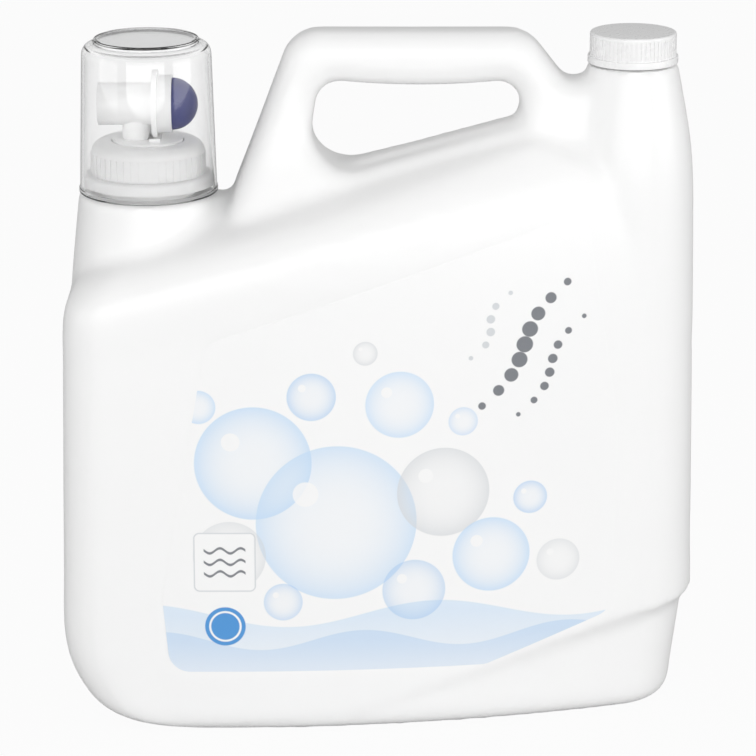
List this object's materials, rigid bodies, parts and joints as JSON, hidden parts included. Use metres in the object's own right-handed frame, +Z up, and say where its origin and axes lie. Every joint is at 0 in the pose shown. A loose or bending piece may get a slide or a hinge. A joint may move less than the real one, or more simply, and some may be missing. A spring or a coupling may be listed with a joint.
{
  "type": "laundry detergent bottle",
  "caption": "Hollow blow-moulded bottle with a moulded handle, a press tap under a clear dosing cup at one shoulder and a small screw vent cap on a tower at the other.",
  "frame": {"origin": "middle of the base, on the plane that the bottle stands on", "axes": "+Z up, +X from the tap towards the vent cap, -Y towards the labelled front"},
  "size_m": [0.2647, 0.1018, 0.289],
  "materials": {
    "bottle_plastic": "satin white, blow-moulded",
    "label_film": "satin film, pale blue print",
    "tap_plastic": "translucent white moulding",
    "gasket_rubber": "matt",
    "plunger_plastic": "satin white",
    "button_rubber": "satin blue elastomer",
    "cup_plastic": "clear, glossy",
    "cap_plastic": "glossy white",
    "liner_foam": "matt foam"
  },
  "bodies": {
    "bottle": {"bottle": "bottle_plastic", "front_label": "label_film"},
    "tap": {"tap_body": "tap_plastic", "closure_gasket": "gasket_rubber"},
    "closure": {"tap_closure": "tap_plastic"},
    "button": {"push_button": "button_rubber", "valve_plunger": "plunger_plastic"},
    "cup": {"dosing_cup": "cup_plastic"},
    "vent_liner": {"vent_cap_liner": "liner_foam"},
    "vent_cap": {"vent_cap": "cap_plastic"}
  },
  "joints": [
    {"name": "tap_lift", "type": "slide", "parent": "bottle", "child": "tap", "axis": [0, 0, 1], "range_m": [0, 0.015]},
    {"name": "closure_turn", "type": "hinge", "parent": "tap", "child": "closure", "pos_m": [-0.0955, 0, 0.2425], "axis": [0, 0, 1], "range_deg": [0, 1260]},
    {"name": "button_press", "type": "slide", "parent": "tap", "child": "button", "axis": [-1, 0, 0], "range_m": [0, 0.004], "stiffness_N_per_m": 2500, "springref_m": -0.001},
    {"name": "cup_lift", "type": "slide", "parent": "tap", "child": "cup", "axis": [0, 0, 1], "range_m": [0, 0.06]},
    {"name": "vent_cap_lift", "type": "slide", "parent": "bottle", "child": "vent_liner", "axis": [0, 0, 1], "range_m": [0, 0.013]},
    {"name": "vent_cap_turn", "type": "hinge", "parent": "vent_liner", "child": "vent_cap", "pos_m": [0.1033, 0, 0.2876], "axis": [0, 0, 1], "range_deg": [0, 1080]}
  ],
  "couplings": [
    {"joint": "tap_lift", "follows": "closure_turn", "m_per_rad": 0.000673},
    {"joint": "vent_cap_lift", "follows": "vent_cap_turn", "m_per_rad": 0.000673}
  ]
}
